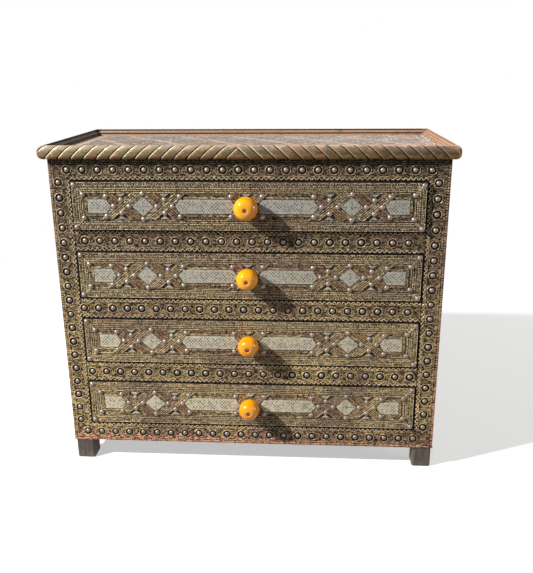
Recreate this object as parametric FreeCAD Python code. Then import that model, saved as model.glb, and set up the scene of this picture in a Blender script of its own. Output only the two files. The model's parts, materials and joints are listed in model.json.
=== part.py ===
import FreeCAD, Part
import math
import os

os.makedirs("parts", exist_ok=True)

# A chest of four equal drawers on block feet. The wooden carcass and drawers are clad in
# thin metal held by round-headed nails, and bone plates lie on the drawer fronts.
# Millimetres. +X is to the viewer's right, -Y is the front, +Z is up. The origin is on the
# floor, at the middle of the ground that the whole chest covers.

# Body. Its width goes over the side sheets, its depth from the frame's metal face to the back.
body_width = 680.0
body_depth = 309.0
stile_width = 36.5
top_rail_height = 36.0
divider_height = 38.0
bottom_rail_height = 38.0
frame_thickness = 18.0
side_board_thickness = 15.0
back_panel_thickness = 6.0
bottom_board_thickness = 15.0
frame_strip_thickness = 0.8
side_sheet_thickness = 0.8

# Feet
foot_height = 40.5
foot_width = 34.5
foot_inset = 1.5
foot_corner_radius = 4.0
foot_base_radius = 3.0

# Top: a board and its sheet, inside a rim of four mouldings that step down to the sheet.
top_board_thickness = 11.0
top_sheet_thickness = 0.5
moulding_overhang = 12.0
moulding_lip_width = 10.0
moulding_lip_flat = 1.0
moulding_step_width = 7.0
moulding_step_height = 6.0
moulding_step_count = 2
cladding_thickness = 0.6

# Drawers, counted from the top one down. The top one rests a little open.
drawer_count = 4
drawer_opening_height = 87.0
top_drawer_rest_opening = 4.0
drawer_side_gap = 1.5
drawer_end_gap = 1.0
drawer_back_gap = 3.5
drawer_runner_gap = 0.3
drawer_face_proud = 2.0
front_board_thickness = 16.0
front_sheet_thickness = 0.8
front_sheet_edge_radius = 0.6
front_flange_thickness = 0.5
front_flange_depth = 10.0
box_side_thickness = 12.0
box_side_height = 70.0
box_back_thickness = 12.0
box_back_drop = 6.0
drawer_bottom_thickness = 5.0
drawer_bottom_rise = 5.0

# Runners: a ledge under the drawer's side, and a guide beside it out to the side board.
runner_ledge_width = 14.0
runner_base_height = 18.0
runner_guide_height = 25.0

# Nail heads: low domes. Those of the drawer fronts stand on a collar among the plates.
stud_radius = 4.5
stud_dome_height = 3.0
nail_dome_height = 2.6
nail_gap = 0.5

# Rows of studs on the frame, from a corner or an end of the strip that carries them. They were
# set by hand, so the rows differ: top and bottom rail, three dividers, left and right stile.
frame_row_count = 24
frame_row_left_insets = (32.0, 27.0)
frame_row_right_insets = (32.0, 36.5)
divider_row_counts = (22, 23, 23)
divider_row_left_insets = (17.0, 5.0, 9.5)
divider_row_right_insets = (27.5, 22.5, 12.5)
stile_column_count = 18
stile_column_top_drop = 39.5
stile_column_bottom_rise = 43.0
stile_column_insets = (15.5, 19.5)
side_row_count = 11
side_column_count = 20
side_stud_inset = 17.5

# Ornament of a drawer front. The bands cross at its middle and at two places on each side.
crossing_spacing = 75.0
field_half_height = 22.5
bone_thickness = 1.0
bone_half_height = 12.3
bone_tip_gap = 18.5
bone_tip_length = 8.0
diamond_half_height = 17.0
end_plate_inset = 28.0
end_plate_length = 40.0
triangle_half_width = 8.0
triangle_height = 5.5
triangle_base_gap = 0.5
band_thickness = 1.2
band_width = 13.0
band_angle = math.radians(40)
corner_nail_inset = 5.6
mitre_nail_x_inset = 20.0
mitre_nail_z_inset = 22.0

# Knob: a bead on a screw that goes through it into the front board. The top bead is the largest.
knob_length = 35.0
knob_radii = (20.5, 19.0, 18.5, 18.5)
knob_back_flat_radius = 7.0
knob_front_flat_radius = 4.2
knob_recess_radius = 3.4
knob_recess_depth = 5.0
screw_head_radius = 2.9
screw_head_height = 2.2
screw_radius = 2.0
screw_clearance = 0.2
screw_bite = 12.0

# Levels and planes worked out from the sizes above
body_height = (bottom_rail_height + drawer_count * drawer_opening_height
               + (drawer_count - 1) * divider_height + top_rail_height)
body_base = foot_height
body_top = body_base + body_height

knob_reach = drawer_face_proud + band_thickness + knob_length
front_reach = knob_reach + top_drawer_rest_opening
face_y = (front_reach - body_depth) / 2
back_y = face_y + body_depth
wood_front_y = face_y + frame_strip_thickness
frame_back_y = wood_front_y + frame_thickness
back_panel_y = back_y - back_panel_thickness

body_half = body_width / 2
opening_half = body_half - stile_width
board_outer_half = body_half - side_sheet_thickness
board_inner_half = board_outer_half - side_board_thickness

moulding_width = moulding_lip_width + moulding_step_width
moulding_height = top_board_thickness + top_sheet_thickness + moulding_step_count * moulding_step_height
moulding_core_width = moulding_width - cladding_thickness
rim_half = body_half + moulding_overhang
rim_front_y = face_y - moulding_overhang

drawer_half = opening_half - drawer_side_gap
drawer_half_height = drawer_opening_height / 2 - drawer_end_gap
drawer_face_y = face_y - drawer_face_proud
board_front_y = drawer_face_y + front_sheet_thickness
board_back_y = board_front_y + front_board_thickness
box_inner_half = drawer_half - box_side_thickness
box_back_y = back_panel_y - drawer_back_gap

end_plate_edge = drawer_half - end_plate_inset
end_plate_start = end_plate_edge - end_plate_length
outer_crossing_offset = end_plate_start - bone_tip_gap
inner_crossing_offset = outer_crossing_offset - crossing_spacing


def box(x_low, x_high, y_low, y_high, z_low, z_high):
    corner = FreeCAD.Vector(x_low, y_low, z_low)
    return Part.makeBox(x_high - x_low, y_high - y_low, z_high - z_low, corner)


def mirrored_x(shape):
    return shape.mirror(FreeCAD.Vector(0, 0, 0), FreeCAD.Vector(1, 0, 0))


def moved(shape, x=0, y=0, z=0):
    copy = shape.copy()
    copy.translate(FreeCAD.Vector(x, y, z))
    return copy


def path(start, *steps):
    """Straight and curved pieces in a row. A step is a point, or a curve's middle and its end.

    A step to the point where the path already is adds nothing.
    """
    pieces = []
    here = start
    for step in steps:
        curved = isinstance(step[0], tuple)
        end = step[1] if curved else step
        if end != here:
            pieces.append((here, step[0], end) if curved else (here, end))
        here = end
    return pieces


def face_of(pieces, place):
    """The flat face inside a closed path, where place turns a path's point into a place in space."""
    edges = []
    for piece in pieces:
        points = [place(u, v) for u, v in piece]
        edges.append(Part.Arc(*points).toShape() if len(points) == 3 else Part.makeLine(*points))
    return Part.Face(Part.Wire(edges))


def turned(pieces):
    """A solid turned about the Y axis from a path of (radius, y) points."""
    face = face_of(pieces, lambda radius, y: FreeCAD.Vector(radius, y, 0))
    return face.revolve(FreeCAD.Vector(0, 0, 0), FreeCAD.Vector(0, 1, 0), 360)


def rod(radius, y_low, y_high):
    """A round rod along the Y axis."""
    return Part.makeCylinder(radius, y_high - y_low, FreeCAD.Vector(0, y_low, 0), FreeCAD.Vector(0, 1, 0))


def front_plate(outline, y_back, thickness):
    """A plate from an outline of (x, z) points, on the plane y_back and towards the viewer."""
    points = [FreeCAD.Vector(x, y_back, z) for x, z in outline]
    face = Part.Face(Part.makePolygon(points + points[:1]))
    return face.extrude(FreeCAD.Vector(0, -thickness, 0))


def nail(collar_height, dome_height):
    """A round nail head that stands on the plane y = 0 and points to the front."""
    # The dome is the cap of a ball, whose radius follows from the cap's width and height.
    ball_radius = (stud_radius ** 2 + dome_height ** 2) / (2 * dome_height)
    half_turn = math.asin(stud_radius / ball_radius) / 2
    tip = -(collar_height + dome_height)
    middle = (ball_radius * math.sin(half_turn), tip + ball_radius * (1 - math.cos(half_turn)))
    rim = (stud_radius, -collar_height)
    collar = [(stud_radius, 0)] if collar_height > 0 else []
    return turned(path((0, 0), *collar, rim, (middle, (0, tip)), (0, 0)))


def evenly(first, last, count):
    step = (last - first) / (count - 1)
    return [first + step * i for i in range(count)]


def save(name, solids):
    shape = solids[0] if len(solids) == 1 else Part.makeCompound(solids)
    shape.exportStep("parts/" + name + ".step")


def opening_base(index):
    """Height of the bottom of a drawer's opening. The top drawer's index is 0."""
    below = drawer_count - 1 - index
    return body_base + bottom_rail_height + below * (drawer_opening_height + divider_height)


def make_carcass():
    side = box(board_inner_half, board_outer_half, frame_back_y, back_panel_y, body_base, body_top)
    save("right_side_board", [side])
    save("left_side_board", [mirrored_x(side)])

    stile = box(opening_half, board_outer_half, wood_front_y, frame_back_y, body_base, body_top)
    save("right_stile", [stile])
    save("left_stile", [mirrored_x(stile)])

    def rail(z_low, z_high):
        return box(-opening_half, opening_half, wood_front_y, frame_back_y, z_low, z_high)

    save("top_rail", [rail(body_top - top_rail_height, body_top)])
    save("bottom_rail", [rail(body_base, body_base + bottom_rail_height)])
    levels = [opening_base(i) for i in range(drawer_count - 1)]
    save("divider_rails", [rail(level - divider_height, level) for level in levels])

    save("bottom_board", [box(-board_inner_half, board_inner_half, frame_back_y, back_panel_y,
                              body_base, body_base + bottom_board_thickness)])
    save("back_panel", [box(-board_outer_half, board_outer_half, back_panel_y, back_y,
                            body_base, body_top)])


def make_runners():
    runners = []
    for index in range(drawer_count):
        level = opening_base(index)
        ledge = box(opening_half - runner_ledge_width, board_inner_half, frame_back_y, back_panel_y,
                    level - runner_base_height, level)
        guide = box(opening_half, board_inner_half, frame_back_y, back_panel_y,
                    level, level + runner_guide_height)
        runner = ledge.fuse(guide).removeSplitter()
        runners += [runner, mirrored_x(runner)]
    save("drawer_runners", runners)


def make_feet():
    half = foot_width / 2
    block = box(-half, half, -half, half, 0, foot_height)
    upright = [edge for edge in block.Edges if edge.BoundBox.ZLength > foot_height / 2]
    block = block.makeFillet(foot_corner_radius, upright)
    base = [edge for edge in block.Edges if edge.BoundBox.ZMax < foot_height / 2]
    block = block.makeFillet(foot_base_radius, base)
    x_middle = body_half - foot_inset - half
    y_middles = (face_y + foot_inset + half, back_y - foot_inset - half)
    save("feet", [moved(block, x=x, y=y) for x in (-x_middle, x_middle) for y in y_middles])


def nose(inset):
    """Steps of a path round a moulding's nose, from its top to its underside."""
    radius = min(moulding_lip_width - moulding_lip_flat, moulding_height / 2)
    bevel = radius - (radius - inset) * math.sqrt(0.5)
    top = moulding_height
    return [(radius, top - inset), ((bevel, top - bevel), (inset, top - radius)),
            (inset, radius), ((bevel, bevel), (radius, inset))]


def moulding_paths(nosed):
    """Sections of a moulding over its metal and of its wooden core.

    The points are (inwards from its outer face, up from its underside).
    """
    t = cladding_thickness
    lip = moulding_lip_width
    top = moulding_height
    tread = top - moulding_step_height
    seat = top_board_thickness
    core = moulding_core_width
    if nosed:
        outer = nose(0)
        inner = nose(t) + [(moulding_overhang, t), (moulding_overhang, 0)]
    else:
        outer = [(0, top), (0, 0)]
        inner = [(0, top - t), (0, 0)]
    whole = path((lip, top), *outer, (core, 0), (core, seat), (moulding_width, seat),
                 (moulding_width, tread), (lip, tread), (lip, top))
    wood = path((lip - t, top - t), *inner, (core, 0), (core, tread - t),
                (lip - t, tread - t), (lip - t, top - t))
    return whole, wood


def nosed_slab(inset):
    """The space inside the outer faces of both side mouldings, or inside their metal."""
    outer = nose(inset)
    underside = [(moulding_overhang, inset), (moulding_overhang, 0)]
    middle = rim_half
    pieces = path(*outer, *underside, (middle, 0), (middle, moulding_height - inset), outer[0])
    face = face_of(pieces, lambda u, w: FreeCAD.Vector(rim_half - u, rim_front_y, body_top + w))
    half = face.extrude(FreeCAD.Vector(0, back_y - rim_front_y, 0))
    return half.fuse(mirrored_x(half))


def mitred(section, place, run, corners):
    """A section drawn by place, run along the rim and cut to its mitres, seen from above."""
    solid = face_of(section, place).extrude(run)
    points = [FreeCAD.Vector(x, y, body_top) for x, y in corners]
    plan = Part.Face(Part.makePolygon(points + points[:1]))
    return solid.common(plan.extrude(FreeCAD.Vector(0, 0, moulding_height)))


def make_top():
    across = FreeCAD.Vector(2 * rim_half, 0, 0)
    along = FreeCAD.Vector(0, back_y - rim_front_y, 0)
    inner_half = rim_half - moulding_width
    inner_front = rim_front_y + moulding_width
    inner_back = back_y - moulding_width

    front_corners = [(-rim_half, rim_front_y), (rim_half, rim_front_y),
                     (inner_half, inner_front), (-inner_half, inner_front)]
    side_corners = [(rim_half, rim_front_y), (rim_half, back_y),
                    (inner_half, inner_back), (inner_half, inner_front)]
    back_corners = [(-rim_half, back_y), (rim_half, back_y),
                    (inner_half, inner_back), (-inner_half, inner_back)]

    def at_front(u, w):
        return FreeCAD.Vector(-rim_half, rim_front_y + u, body_top + w)

    def at_side(u, w):
        return FreeCAD.Vector(rim_half - u, rim_front_y, body_top + w)

    def at_back(u, w):
        return FreeCAD.Vector(-rim_half, back_y - u, body_top + w)

    nosed = moulding_paths(True)
    plain = moulding_paths(False)
    front_whole, front_wood = [mitred(s, at_front, across, front_corners) for s in nosed]
    side_whole, side_wood = [mitred(s, at_side, along, side_corners) for s in nosed]
    back_whole, back_wood = [mitred(s, at_back, across, back_corners) for s in plain]
    back_whole = back_whole.common(nosed_slab(0))
    back_wood = back_wood.common(nosed_slab(cladding_thickness))

    save("front_top_moulding", front_wood.Solids)
    save("right_top_moulding", side_wood.Solids)
    save("left_top_moulding", mirrored_x(side_wood).Solids)
    save("back_top_moulding", back_wood.Solids)
    side_metal = side_whole.cut(side_wood)
    metal = [front_whole.cut(front_wood), side_metal, mirrored_x(side_metal), back_whole.cut(back_wood)]
    save("moulding_cladding", [solid for piece in metal for solid in piece.Solids])

    def panel(edge, z_low, z_high):
        return box(edge - rim_half, rim_half - edge, rim_front_y + edge, back_y - edge, z_low, z_high)

    board_top = body_top + top_board_thickness
    save("top_board", [panel(moulding_core_width, body_top, board_top)])
    save("top_sheet", [panel(moulding_width, board_top, board_top + top_sheet_thickness)])


def make_cladding():
    side = box(board_outer_half, body_half, wood_front_y, back_y, body_base, body_top)
    save("right_side_sheet", [side])
    save("left_side_sheet", [mirrored_x(side)])

    high = body_top - top_rail_height
    low = body_base + bottom_rail_height

    def strip(outline):
        return front_plate(outline, wood_front_y, frame_strip_thickness)

    stile = strip([(opening_half, low), (body_half, body_base), (body_half, body_top),
                   (opening_half, high)])
    save("stile_strips", [mirrored_x(stile), stile])

    strips = [strip([(-opening_half, high), (opening_half, high), (body_half, body_top),
                     (-body_half, body_top)]),
              strip([(-body_half, body_base), (body_half, body_base), (opening_half, low),
                     (-opening_half, low)])]
    for index in range(drawer_count - 1):
        level = opening_base(index)
        base = level - divider_height
        strips.append(strip([(-opening_half, base), (opening_half, base),
                             (opening_half, level), (-opening_half, level)]))
    save("rail_strips", strips)


def frame_stud_places():
    places = []
    levels = (body_top - top_rail_height / 2, body_base + bottom_rail_height / 2)
    for z, left_inset, right_inset in zip(levels, frame_row_left_insets, frame_row_right_insets):
        places += [(x, z) for x in evenly(left_inset - body_half, body_half - right_inset, frame_row_count)]
    rows = zip(divider_row_counts, divider_row_left_insets, divider_row_right_insets)
    for index, (count, left_inset, right_inset) in enumerate(rows):
        z = opening_base(index) - divider_height / 2
        places += [(x, z) for x in evenly(left_inset - opening_half, opening_half - right_inset, count)]
    column = evenly(body_base + stile_column_bottom_rise, body_top - stile_column_top_drop,
                    stile_column_count)
    left_inset, right_inset = stile_column_insets
    places += [(x, z) for x in (left_inset - body_half, body_half - right_inset) for z in column]
    return places


def side_stud_places():
    """Places (y, z) in a ring round a side sheet."""
    row = evenly(face_y + side_stud_inset, back_y - side_stud_inset, side_row_count)
    column = evenly(body_base + side_stud_inset, body_top - side_stud_inset, side_column_count)
    places = [(y, z) for y in (row[0], row[-1]) for z in column]
    return places + [(y, z) for y in row[1:-1] for z in (column[0], column[-1])]


def make_studs():
    stud = nail(0, stud_dome_height)
    save("frame_studs", [moved(stud, x=x, y=face_y, z=z) for x, z in frame_stud_places()])

    right_stud = stud.copy()
    right_stud.rotate(FreeCAD.Vector(0, 0, 0), FreeCAD.Vector(0, 0, 1), 90)
    right = [moved(right_stud, x=body_half, y=y, z=z) for y, z in side_stud_places()]
    save("side_studs", [mirrored_x(solid) for solid in right] + right)


def bone_outlines():
    """The bone plates of one drawer front, seen from the front, about its middle."""
    h = bone_half_height
    tip = bone_tip_length
    long_start = bone_tip_gap
    long_end = inner_crossing_offset - bone_tip_gap
    long_plate = [(long_start, 0), (long_start + tip, -h), (long_end - tip, -h),
                  (long_end, 0), (long_end - tip, h), (long_start + tip, h)]
    middle = (inner_crossing_offset + outer_crossing_offset) / 2
    reach = crossing_spacing / 2 - bone_tip_gap
    diamond = [(middle - reach, 0), (middle, -diamond_half_height),
               (middle + reach, 0), (middle, diamond_half_height)]
    end_plate = [(end_plate_start, 0), (end_plate_start + tip, -h), (end_plate_edge, -h),
                 (end_plate_edge, h), (end_plate_start + tip, h)]
    outlines = []
    for outline in (long_plate, diamond, end_plate):
        outlines += [outline, [(-x, z) for x, z in outline]]
    base = field_half_height - triangle_base_gap
    for x in crossings():
        for up in (1, -1):
            outlines.append([(x - triangle_half_width, up * base), (x + triangle_half_width, up * base),
                             (x, up * (base - triangle_height))])
    return outlines


def crossings():
    right = [inner_crossing_offset, outer_crossing_offset]
    return [-x for x in reversed(right)] + [0] + right


def nail_places():
    """Places (x, z) of the nails of one drawer front, about its middle."""
    clear = nail_gap + stud_radius
    plate_rise = bone_half_height + clear
    middle = (inner_crossing_offset + outer_crossing_offset) / 2
    quarter = [(drawer_half - corner_nail_inset, drawer_half_height - corner_nail_inset),
               (drawer_half - mitre_nail_x_inset, drawer_half_height - mitre_nail_z_inset),
               (bone_tip_gap + bone_tip_length, plate_rise),
               (inner_crossing_offset - bone_tip_gap - bone_tip_length, plate_rise),
               (middle, diamond_half_height + clear),
               (end_plate_start + bone_tip_length, plate_rise)]
    reach = bone_tip_gap - clear
    rise = field_half_height - triangle_base_gap - triangle_height - clear
    half = []
    for x in (inner_crossing_offset, outer_crossing_offset):
        half += [(x - reach, 0), (x + reach, 0)]
        quarter.append((x, rise))
    half += quarter + [(x, -z) for x, z in quarter]
    return half + [(-x, z) for x, z in half]


def band_solids(nail_holes, screw_hole):
    """Two metal bands over each crossing: one whole, the other cut in two by it."""
    spread = field_half_height / math.tan(band_angle)
    half_cut = band_width / (2 * math.sin(band_angle))
    middles = crossings()
    outer_limit = drawer_half - mitre_nail_x_inset
    limits = [-outer_limit] + [(a + b) / 2 for a, b in zip(middles, middles[1:])] + [outer_limit]
    solids = []
    for index, x in enumerate(middles):
        low, high = limits[index], limits[index + 1]
        outline = [(-spread - half_cut, -field_half_height), (half_cut - spread, -field_half_height),
                   (spread + half_cut, field_half_height), (spread - half_cut, field_half_height)]
        rising = front_plate(outline, drawer_face_y, band_thickness)
        falling = mirrored_x(rising).cut(rising)
        room = box(low, high, drawer_face_y - band_thickness, drawer_face_y,
                   -field_half_height, field_half_height)
        holes = [hole for place, hole in nail_holes if low - stud_radius < place[0] < high + stud_radius]
        # The nails cut small corners loose from a band's ends; only the band itself is kept.
        for band, pieces in ((rising, 1), (falling, 2)):
            band = moved(band, x=x).common(room).cut(holes + [screw_hole])
            solids += sorted(band.Solids, key=lambda solid: solid.Volume)[-pieces:]
    return solids


def make_knob(radius):
    """A bead and its screw, with the bead's back on the plane y = 0."""
    front = -knob_length
    seat = front + knob_recess_depth
    bore = screw_radius + screw_clearance
    bead = turned(path((bore, 0), (knob_back_flat_radius, 0),
                       ((radius, front / 2), (knob_front_flat_radius, front)),
                       (knob_recess_radius, front), (knob_recess_radius, seat), (bore, seat), (bore, 0)))
    foot = band_thickness + front_sheet_thickness + screw_bite
    head = seat - screw_head_height
    screw = turned(path((0, foot), (screw_radius, foot), (screw_radius, seat),
                        (screw_head_radius, seat), (screw_head_radius, head), (0, head), (0, foot)))
    return bead, screw


def front_sheet():
    """The metal tray that is folded over the front board's edges."""
    half = drawer_half
    height = drawer_half_height
    fold = front_flange_thickness
    outer = box(-half, half, drawer_face_y, drawer_face_y + front_flange_depth, -height, height)
    rim = [edge for edge in outer.Edges if edge.BoundBox.YMax < board_front_y]
    outer = outer.makeFillet(front_sheet_edge_radius, rim)
    inner = box(fold - half, half - fold, board_front_y, board_back_y, fold - height, height - fold)
    return outer.cut(inner)


def make_drawer(index):
    """All pieces of one drawer, built about the middle of its opening and moved there."""
    middle = drawer_opening_height / 2
    shift_y = -top_drawer_rest_opening if index == 0 else 0
    shift_z = opening_base(index) + middle
    prefix = "drawer_%d_" % (index + 1)

    def put(name, solids):
        save(prefix + name, [moved(solid, y=shift_y, z=shift_z) for solid in solids])

    fold = front_flange_thickness
    board = box(fold - drawer_half, drawer_half - fold, board_front_y, board_back_y,
                fold - drawer_half_height, drawer_half_height - fold)
    put("front_board", [board.cut(rod(screw_radius, board_front_y, board_front_y + screw_bite))])
    clearance_hole = rod(screw_radius + screw_clearance, drawer_face_y - band_thickness, board_front_y)
    put("front_sheet", [front_sheet().cut(clearance_hole)])

    side_base = drawer_runner_gap - middle
    side_top = side_base + box_side_height
    bottom_low = side_base + drawer_bottom_rise
    bottom_high = bottom_low + drawer_bottom_thickness
    side = box(box_inner_half, drawer_half, board_back_y, box_back_y, side_base, side_top)
    back = box(-box_inner_half, box_inner_half, box_back_y - box_back_thickness, box_back_y,
               bottom_high, side_top - box_back_drop)
    put("box_boards", [mirrored_x(side), side, back])
    put("bottom", [box(-box_inner_half, box_inner_half, board_back_y, box_back_y,
                       bottom_low, bottom_high)])

    put("bone_inlays", [front_plate(outline, drawer_face_y, bone_thickness)
                        for outline in bone_outlines()])
    hole = rod(stud_radius, drawer_face_y - band_thickness, drawer_face_y)
    nail_holes = [(place, moved(hole, x=place[0], z=place[1])) for place in nail_places()]
    put("bands", band_solids(nail_holes, clearance_hole))
    head = nail(band_thickness, nail_dome_height)
    put("nails", [moved(head, x=x, y=drawer_face_y, z=z) for x, z in nail_places()])

    bead, screw = make_knob(knob_radii[index])
    knob_y = drawer_face_y - band_thickness
    put("knob", [moved(bead, y=knob_y)])
    put("knob_screw", [moved(screw, y=knob_y)])


make_carcass()
make_runners()
make_feet()
make_top()
make_cladding()
make_studs()
for drawer_index in range(drawer_count):
    make_drawer(drawer_index)
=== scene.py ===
import json
import math
import random

import bmesh
import bpy
from mathutils import Matrix, Vector, geometry


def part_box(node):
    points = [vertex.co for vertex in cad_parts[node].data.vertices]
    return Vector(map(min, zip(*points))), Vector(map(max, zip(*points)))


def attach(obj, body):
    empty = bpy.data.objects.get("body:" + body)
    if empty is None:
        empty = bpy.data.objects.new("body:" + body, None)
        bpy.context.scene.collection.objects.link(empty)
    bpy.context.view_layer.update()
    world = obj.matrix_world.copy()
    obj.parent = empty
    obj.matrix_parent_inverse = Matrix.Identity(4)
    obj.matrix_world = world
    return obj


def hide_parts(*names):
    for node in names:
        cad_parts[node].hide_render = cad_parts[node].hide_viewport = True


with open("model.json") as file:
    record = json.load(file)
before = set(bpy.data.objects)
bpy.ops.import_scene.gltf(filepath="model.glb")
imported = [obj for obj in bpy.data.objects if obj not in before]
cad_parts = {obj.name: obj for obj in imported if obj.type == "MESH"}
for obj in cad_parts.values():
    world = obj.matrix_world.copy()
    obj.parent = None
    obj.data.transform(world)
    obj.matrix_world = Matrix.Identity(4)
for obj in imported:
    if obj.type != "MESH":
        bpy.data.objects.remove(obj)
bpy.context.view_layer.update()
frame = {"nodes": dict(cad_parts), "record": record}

# All pieces are drawn in millimetres and brought to metres when they are finished. Relief is
# drawn on a flat sheet first: X to its right, Y up the sheet, Z out of it.
MM = 0.001
dice = random.Random(7)
record = frame["record"]
slot_of = {part["node"]: part["material_slot"] for part in record["subparts"]}
body_of = {node: body for body, nodes in record["behaviour"]["bodies"].items() for node in nodes}

FRONT = Matrix.Rotation(math.radians(90), 4, "X")
RIGHT = Matrix(((0, 0, 1, 0), (1, 0, 0, 0), (0, 1, 0, 0), (0, 0, 0, 1)))
LEFT = Matrix(((0, 0, -1, 0), (-1, 0, 0, 0), (0, 1, 0, 0), (0, 0, 0, 1)))
TOP = Matrix.Identity(4)


def box_of(node):
    """Lowest and highest corner of a node, in millimetres."""
    low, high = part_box(node)
    return Vector(low) / MM, Vector(high) / MM


# The solids that the relief is drawn on
BODY_BASE = box_of("right_side_sheet")[0].z
BODY_TOP = box_of("right_side_sheet")[1].z
BODY_HALF = box_of("right_side_sheet")[1].x
OPENING_HALF = box_of("top_rail")[1].x
OPENINGS_TOP = box_of("top_rail")[0].z
OPENINGS_BASE = box_of("bottom_rail")[1].z
RIM_LOW, RIM_HIGH = box_of("moulding_cladding")
RIM_HEIGHT = RIM_HIGH.z - RIM_LOW.z

# Sizes that the drawn relief shares with the solids under it
SHEET = 0.8
FOLD_DEPTH = 10.0
STUD_RADIUS = 4.5
STUD_DOME = 3.0
NAIL_DOME = 2.6
NAIL_COLLAR = 1.2
BAND_HEIGHT = 1.2
BAND_WIDTH = 13.0
BAND_ANGLE = math.radians(40)
BONE_HEIGHT = 1.0
FIELD_INSET = 20.0
CROSSINGS = (-215.5, -140.5, 0.0, 140.5, 215.5)
MITRE_NAIL_INSET = 20.0
DRAWER_GAP = 1.0
NOSE_RADIUS = 9.0
STEP_DOWN = 6.0


# Shapes


def relief_mesh():
    """An empty mesh whose points carry a relief, 0 in a recess and 1 on a ridge, and a tint."""
    bm = bmesh.new()
    bm.verts.layers.float.new("relief")
    bm.verts.layers.float.new("tint")
    return bm


def mark(bm, verts, value, name="relief"):
    """Gives points a relief, or another value that the materials read. A rule takes each place."""
    layer = bm.verts.layers.float[name]
    for vert in verts:
        vert[layer] = value(vert.co) if callable(value) else value


def frozen(bm, name):
    """Turns a shape into a mesh."""
    mesh = bpy.data.meshes.new(name)
    bm.to_mesh(mesh)
    bm.free()
    return mesh


def face_out(bm, way):
    """Turns all faces over if they mostly face against a way."""
    if sum(face.normal.dot(way) * face.calc_area() for face in bm.faces) < 0:
        bmesh.ops.reverse_faces(bm, faces=bm.faces)


def as_stamp(bm):
    """Turns a small shape to face out of the sheet, and keeps it as a mesh to stamp with."""
    bmesh.ops.remove_doubles(bm, verts=bm.verts, dist=1e-4)
    bmesh.ops.recalc_face_normals(bm, faces=bm.faces)
    face_out(bm, Vector((0, 0, 1)))
    return frozen(bm, "stamp")


def spun(profile, steps):
    """A round stamp from (radius, height, relief) points, turned about Z."""
    bm = relief_mesh()
    verts = []
    for radius, height, relief in profile:
        verts.append(bm.verts.new((radius, 0, height)))
        mark(bm, verts[-1:], relief)
    edges = [bm.edges.new(pair) for pair in zip(verts, verts[1:])]
    bmesh.ops.spin(bm, geom=verts + edges, cent=(0, 0, 0), axis=(0, 0, 1), dvec=(0, 0, 0),
                   angle=math.tau, steps=steps, use_merge=True)
    return as_stamp(bm)


def raised(bm, low, high):
    """A stamp from a shape one millimetre high, open below, with a relief at its foot and top."""
    bmesh.ops.translate(bm, verts=bm.verts, vec=(0, 0, 0.5))
    floor = [face for face in bm.faces if face.calc_center_median().z < 0.1]
    bmesh.ops.delete(bm, geom=floor, context="FACES_ONLY")
    mark(bm, bm.verts, low)
    mark(bm, [vert for vert in bm.verts if vert.co.z > 0.5], high)
    return as_stamp(bm)


def facet(sides, top=0.4, low=0.1, high=0.85):
    """A flat-topped stamp, whose first corner points up the sheet."""
    bm = relief_mesh()
    bmesh.ops.create_cone(bm, cap_ends=True, segments=sides, radius1=1, radius2=top, depth=1)
    return raised(bm, low, high)


def bar(high):
    """A stamp one millimetre long and wide, narrower at its top, with its top's relief."""
    bm = relief_mesh()
    bmesh.ops.create_cube(bm, size=1)
    bmesh.ops.scale(bm, vec=(1, 0.45, 1), verts=[vert for vert in bm.verts if vert.co.z > 0])
    return raised(bm, 0.15, high)


def dome(height, collar, rim):
    """A nail head: a low dome, on a collar if it has one, with the relief at its rim. A low relief at the
    rim paints shade round the head's edge.
    """
    ball = (STUD_RADIUS ** 2 + height ** 2) / (2 * height)
    half = math.asin(STUD_RADIUS / ball)
    profile = [(STUD_RADIUS, 0, 0.1)] if collar else []
    rings = 4
    for i in range(rings + 1):
        angle = half * (1 - i / rings)
        rise = collar + height - ball * (1 - math.cos(angle))
        profile.append((ball * math.sin(angle), rise, rim + (1 - rim) * min(1, 1.5 * i / rings)))
    return spun(profile, 12)


TRIANGLE = facet(3)
LOZENGE = facet(4)
DENT = facet(3, 0.9, -0.6, -0.6)
BAR = bar(1.0)
FAINT_BAR = bar(0.5)
# A dished ring round a stud: its floor is painted dark all round, painted shade of the dish round the stud,
# and its raised rim is worn bright
CUP = spun([(4.2, 0.12, -0.8), (6.9, 0.12, -0.8), (7.7, 0.95, 0.8), (8.3, 0.95, 0.55), (9.3, 0, 0.15)], 18)
STUD = dome(STUD_DOME, 0, 0.3)
NAIL = dome(NAIL_DOME, NAIL_COLLAR, 0.6)
WOBBLE = 0.05


def stamp(bm, mesh, places, tint=0.0):
    """Adds a stamp to a shape at each of some places."""
    for value in mesh.attributes["tint"].data:
        value.value = tint
    for place in places:
        mesh.transform(place)
        bm.from_mesh(mesh)
        mesh.transform(place.inverted())


def spot(x, y, turn=0.0, size=(1, 1, 1)):
    """A place on the sheet: where, turned how far about Z, and stretched."""
    return Matrix.Translation((x, y, 0)) @ Matrix.Rotation(turn, 4, "Z") @ Matrix.Diagonal((*size, 1))


def row(start, end, pitch, turn=0.0, size=(1, 1, 1)):
    """Places spaced evenly along a line, turned from it in degrees, each a little off as by hand."""
    run = Vector(end) - Vector(start)
    count = max(1, round(run.length / pitch))
    angle = math.atan2(run.y, run.x) + math.radians(turn)
    for i in range(count):
        point = Vector(start) + run * ((i + 0.5) / count)
        here = [side * (1 + dice.uniform(-WOBBLE, WOBBLE)) for side in size]
        yield spot(*point, angle + dice.uniform(-WOBBLE, WOBBLE), here)


def edge_row(bm, shape, start, end, inset, pitch, size=(1, 1, 1), turn=0.0, tint=0.0):
    """Stamps beside an edge, pointing inwards, where the outline runs anticlockwise."""
    run = (Vector(end) - Vector(start)).normalized()
    inward = Vector((-run.y, run.x)) * inset
    stamp(bm, shape, row(Vector(start) + inward, Vector(end) + inward, pitch, turn, size), tint)


def edge_rows(bm, corners, rows):
    """Rows of stamps along every side of an outline, each as its stamp and its measures."""
    for start, end in around(corners):
        for shape, *measures in rows:
            edge_row(bm, shape, start, end, *measures)


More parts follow.
